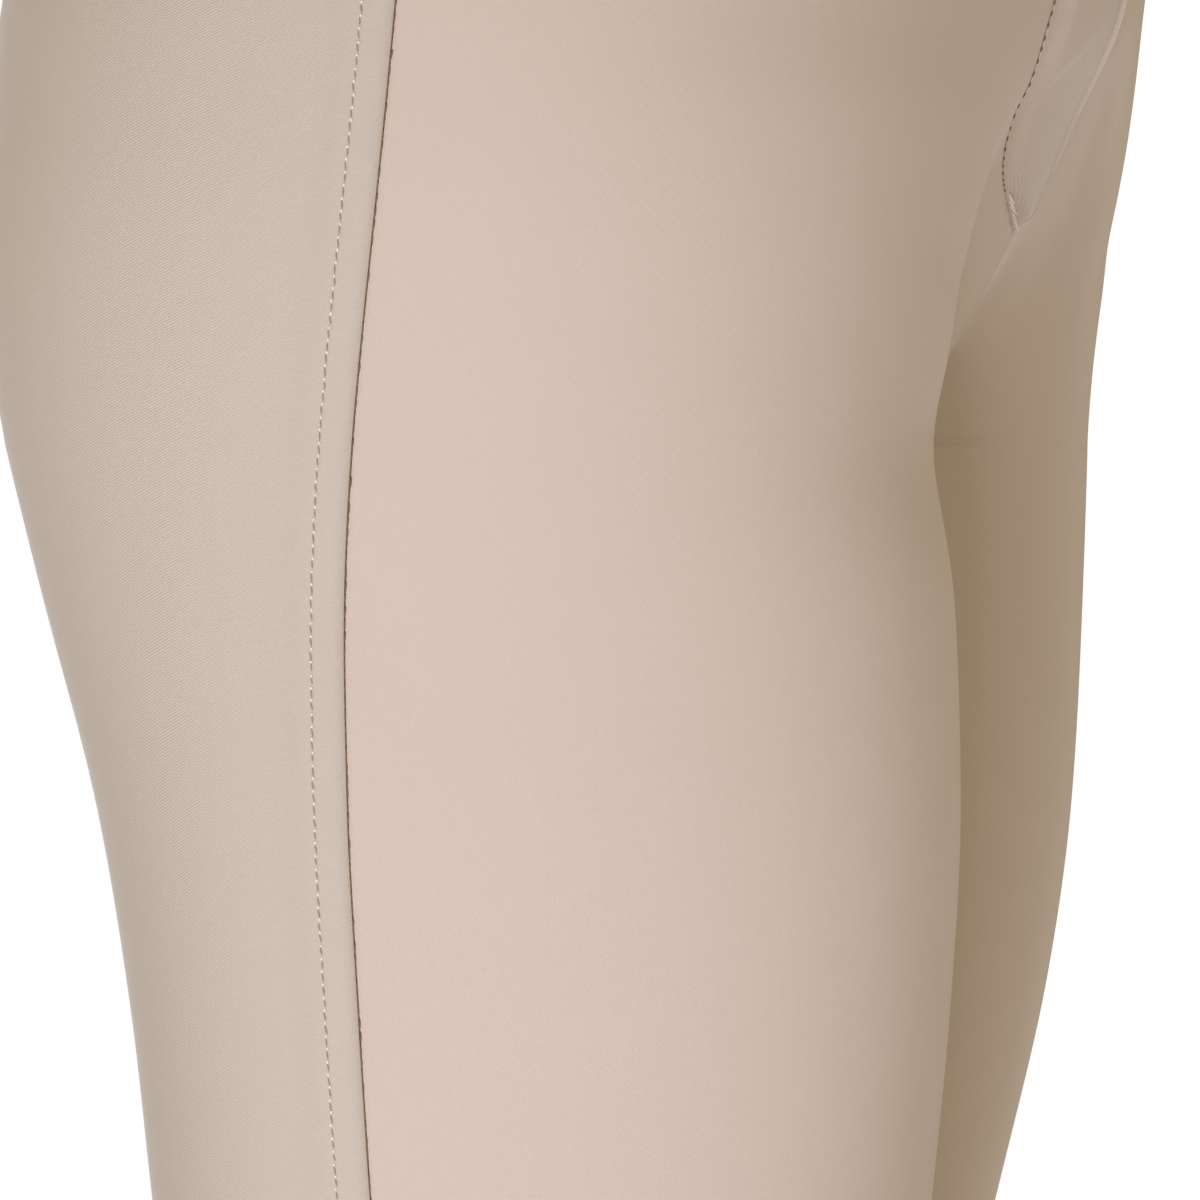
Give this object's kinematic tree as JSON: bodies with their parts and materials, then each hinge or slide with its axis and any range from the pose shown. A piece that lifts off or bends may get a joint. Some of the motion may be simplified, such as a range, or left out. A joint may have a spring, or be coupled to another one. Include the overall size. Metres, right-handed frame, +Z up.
{
  "type": "riding breeches",
  "caption": "Close-fitting riding breeches in smooth stretch cloth, with lapped side seams, a curved fly, a waistband with a button and elastic ankle cuffs, shaped as worn.",
  "frame": {"origin": "middle of the waist opening, halfway up the waistband", "axes": "+Z up along the wearer's height, -Y to the wearer's front, +X to the wearer's left"},
  "size_m": [0.344, 0.2231, 0.92],
  "materials": {
    "stretch_cloth": "smooth fine twill with a soft brushed face",
    "band_cloth": "the same stretch twill, doubled",
    "cuff_knit": "thin elastic knit with fine upright ribs",
    "button": "satin"
  },
  "bodies": {
    "root": {"front_right": "stretch_cloth", "back_right": "stretch_cloth", "front_left": "stretch_cloth", "back_left": "stretch_cloth", "fly_shield": "stretch_cloth", "waistband": "band_cloth", "waist_button": "button", "cuff_right": "cuff_knit", "cuff_left": "cuff_knit"}
  },
  "joints": []
}
